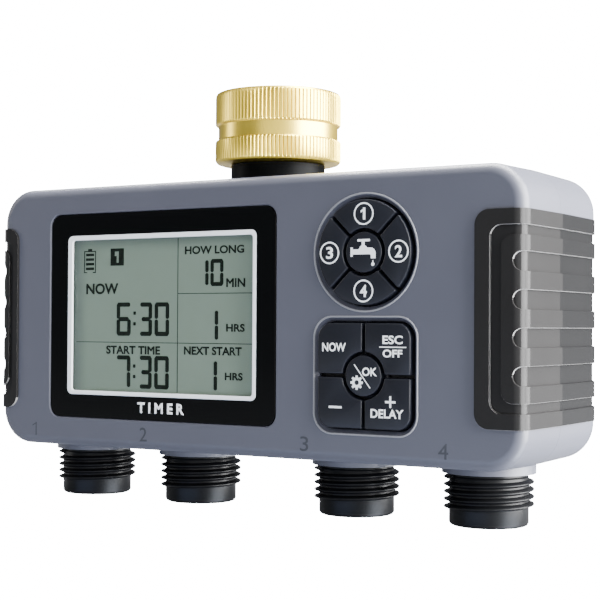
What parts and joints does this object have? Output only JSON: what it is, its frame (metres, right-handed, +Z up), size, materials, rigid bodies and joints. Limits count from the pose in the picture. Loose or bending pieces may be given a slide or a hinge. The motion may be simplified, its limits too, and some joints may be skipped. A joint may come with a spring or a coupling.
{
  "type": "drip irrigation timer",
  "caption": "Battery hose timer with a swivel tap inlet on top, threaded hose outlets below, a display, ring and square keypads, and rubber end grips.",
  "frame": {"origin": "under the middle of the housing, level with the outlet ends", "axes": "+X to the right of somebody facing the display, +Y from display to back, +Z up towards the tap"},
  "size_m": [0.1986, 0.0583, 0.1352],
  "materials": {
    "housing_grey": "fine moulded texture",
    "grip_rubber": "matt soft-touch rubber",
    "bezel_black": "gloss",
    "surround_white": "satin",
    "lens_clear": "clear polycarbonate",
    "lcd_glass": "grey-green display",
    "key_black": "satin key cap",
    "black_plastic": "satin moulded nylon",
    "brass": "turned and knurled, satin",
    "seal_rubber": "matt",
    "inner_plastic": "moulded",
    "board_green": "solder mask",
    "board_part_black": "moulded",
    "copper_winding": "enamelled wire",
    "steel": "zinc plated",
    "battery_skin": "film sleeve"
  },
  "bodies": {
    "timer_body": {"front_housing": "housing_grey", "rear_housing": "housing_grey", "left_grip": "grip_rubber", "right_grip": "grip_rubber", "display_bezel": "bezel_black", "display_surround": "surround_white", "display_lens": "lens_clear", "inlet_neck": "black_plastic", "outlet_1": "black_plastic", "outlet_2": "black_plastic", "outlet_3": "black_plastic", "outlet_4": "black_plastic", "housing_seal": "seal_rubber", "housing_screws": "steel", "lcd_panel": "lcd_glass", "lcd_holder": "inner_plastic", "zebra_strips": "seal_rubber", "control_board": "board_green", "board_parts": "board_part_black", "key_switches": "board_part_black", "round_membrane": "seal_rubber", "square_membrane": "seal_rubber", "inlet_washer": "seal_rubber", "inlet_filter": "steel", "neck_seal": "seal_rubber", "manifold": "inner_plastic", "outlet_seals": "seal_rubber", "diaphragms": "seal_rubber", "valve_caps": "inner_plastic", "battery_tray": "inner_plastic", "batteries": "battery_skin", "battery_contacts": "steel", "coil_1": "copper_winding", "coil_2": "copper_winding", "coil_3": "copper_winding", "coil_4": "copper_winding", "plunger_spring_1": "steel", "plunger_spring_2": "steel", "plunger_spring_3": "steel", "plunger_spring_4": "steel"},
    "inlet_nut": {"inlet_nut": "brass"},
    "battery_cover": {"battery_cover": "housing_grey", "cover_seal": "seal_rubber"},
    "key_zone_1": {"key_zone_1": "key_black"},
    "key_zone_2": {"key_zone_2": "key_black"},
    "key_zone_3": {"key_zone_3": "key_black"},
    "key_zone_4": {"key_zone_4": "key_black"},
    "key_tap": {"key_tap": "key_black"},
    "key_now": {"key_now": "key_black"},
    "key_esc_off": {"key_esc_off": "key_black"},
    "key_minus": {"key_minus": "key_black"},
    "key_delay": {"key_delay": "key_black"},
    "key_ok": {"key_ok": "key_black"},
    "plunger_1": {"plunger_1": "steel"},
    "plunger_2": {"plunger_2": "steel"},
    "plunger_3": {"plunger_3": "steel"},
    "plunger_4": {"plunger_4": "steel"}
  },
  "joints": [
    {"name": "inlet_nut_turn", "type": "hinge", "parent": "timer_body", "child": "inlet_nut", "pos_m": [0, -0.0015, 0.12], "axis": [0, 0, 1], "continuous": true},
    {"name": "key_zone_1_press", "type": "slide", "parent": "timer_body", "child": "key_zone_1", "axis": [0, 1, 0], "range_m": [0, 0.001], "stiffness_N_per_m": 1200},
    {"name": "key_zone_2_press", "type": "slide", "parent": "timer_body", "child": "key_zone_2", "axis": [0, 1, 0], "range_m": [0, 0.001], "stiffness_N_per_m": 1200},
    {"name": "key_zone_3_press", "type": "slide", "parent": "timer_body", "child": "key_zone_3", "axis": [0, 1, 0], "range_m": [0, 0.001], "stiffness_N_per_m": 1200},
    {"name": "key_zone_4_press", "type": "slide", "parent": "timer_body", "child": "key_zone_4", "axis": [0, 1, 0], "range_m": [0, 0.001], "stiffness_N_per_m": 1200},
    {"name": "key_tap_press", "type": "slide", "parent": "timer_body", "child": "key_tap", "axis": [0, 1, 0], "range_m": [0, 0.001], "stiffness_N_per_m": 1200},
    {"name": "key_now_press", "type": "slide", "parent": "timer_body", "child": "key_now", "axis": [0, 1, 0], "range_m": [0, 0.001], "stiffness_N_per_m": 1200},
    {"name": "key_esc_off_press", "type": "slide", "parent": "timer_body", "child": "key_esc_off", "axis": [0, 1, 0], "range_m": [0, 0.001], "stiffness_N_per_m": 1200},
    {"name": "key_minus_press", "type": "slide", "parent": "timer_body", "child": "key_minus", "axis": [0, 1, 0], "range_m": [0, 0.001], "stiffness_N_per_m": 1200},
    {"name": "key_delay_press", "type": "slide", "parent": "timer_body", "child": "key_delay", "axis": [0, 1, 0], "range_m": [0, 0.001], "stiffness_N_per_m": 1200},
    {"name": "key_ok_press", "type": "slide", "parent": "timer_body", "child": "key_ok", "axis": [0, 1, 0], "range_m": [0, 0.001], "stiffness_N_per_m": 1200},
    {"name": "plunger_1_lift", "type": "slide", "parent": "timer_body", "child": "plunger_1", "axis": [0, 0, 1], "range_m": [0, 0.002], "stiffness_N_per_m": 200, "springref_m": -0.003, "deforming": ["plunger_spring_1"]},
    {"name": "plunger_2_lift", "type": "slide", "parent": "timer_body", "child": "plunger_2", "axis": [0, 0, 1], "range_m": [0, 0.002], "stiffness_N_per_m": 200, "springref_m": -0.003, "deforming": ["plunger_spring_2"]},
    {"name": "plunger_3_lift", "type": "slide", "parent": "timer_body", "child": "plunger_3", "axis": [0, 0, 1], "range_m": [0, 0.002], "stiffness_N_per_m": 200, "springref_m": -0.003, "deforming": ["plunger_spring_3"]},
    {"name": "plunger_4_lift", "type": "slide", "parent": "timer_body", "child": "plunger_4", "axis": [0, 0, 1], "range_m": [0, 0.002], "stiffness_N_per_m": 200, "springref_m": -0.003, "deforming": ["plunger_spring_4"]},
    {"name": "battery_cover_slide", "type": "slide", "parent": "timer_body", "child": "battery_cover", "axis": [0, 1, 0], "range_m": [0, 0.015]}
  ]
}
